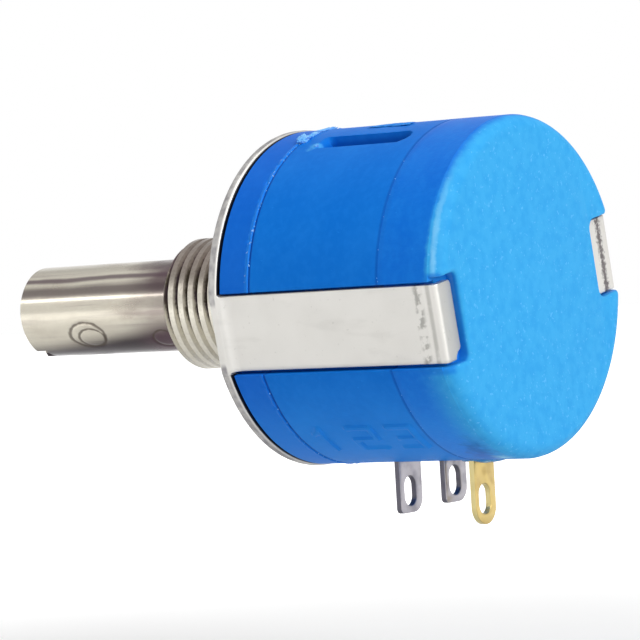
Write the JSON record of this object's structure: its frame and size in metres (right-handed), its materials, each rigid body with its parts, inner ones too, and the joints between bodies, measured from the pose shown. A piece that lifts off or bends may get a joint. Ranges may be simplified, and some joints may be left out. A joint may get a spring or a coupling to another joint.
{
  "type": "multi-turn wirewound potentiometer",
  "caption": "Panel-mounted multi-turn wirewound potentiometer: round blue moulded body in a clipped metal plate, threaded bushing, slotted shaft and flat solder terminals.",
  "frame": {"origin": "centre of the mounting face, where the shaft's axis meets the front of the mounting plate", "axes": "-Y along the shaft towards the knob, +Y towards the rear cap, -Z the way the solder terminals leave the body"},
  "size_m": [0.0224, 0.0413, 0.0264],
  "materials": {
    "plated_sheet": "nickel plated sheet, satin",
    "plated_bushing": "nickel plated, bright crests",
    "shaft_steel": "turned steel, handled",
    "spring_steel": "plain",
    "cover_plastic": "moulded, satin, darker blue",
    "housing_plastic": "moulded, satin, blue",
    "cap_plastic": "moulded, satin, sky blue",
    "resistance_winding": "fine resistance wire",
    "lead_strip": "plain strip",
    "tinned_terminal": "tin plated",
    "gold_plated_terminal": "gold plated",
    "adhesive": "cured drop",
    "contact_leaf": "spring alloy, plain",
    "slip_ring_brass": "turned",
    "rotor_plastic": "moulded, natural",
    "slider_plastic": "moulded"
  },
  "bodies": {
    "stator": {"front_plate": "plated_sheet", "bushing": "plated_bushing", "thrust_washer": "spring_steel", "front_cover": "cover_plastic", "housing": "housing_plastic", "rear_cap": "cap_plastic", "resistance_element": "resistance_winding", "element_start_lead": "lead_strip", "element_end_lead": "lead_strip", "terminal_1": "tinned_terminal", "terminal_2": "tinned_terminal", "wiper_terminal": "gold_plated_terminal", "terminal_sealant": "adhesive", "collector_brush": "contact_leaf"},
    "spindle": {"shaft": "shaft_steel", "retaining_ring": "spring_steel", "rotor": "rotor_plastic", "collector_rod": "contact_leaf", "slip_ring": "slip_ring_brass"},
    "slider": {"slider_carriage": "slider_plastic", "wiper_spring": "contact_leaf", "wiper_contact": "contact_leaf"}
  },
  "joints": [
    {"name": "shaft_turn", "type": "hinge", "parent": "stator", "child": "spindle", "pos_m": [0, 0, 0], "axis": [0, 1, 0], "range_deg": [-1800, 1800]},
    {"name": "slider_travel", "type": "slide", "parent": "spindle", "child": "slider", "axis": [0, 1, 0], "range_m": [-0.00395, 0.00395]}
  ],
  "couplings": [
    {"joint": "slider_travel", "follows": "shaft_turn", "m_per_rad": 0.0001243}
  ]
}
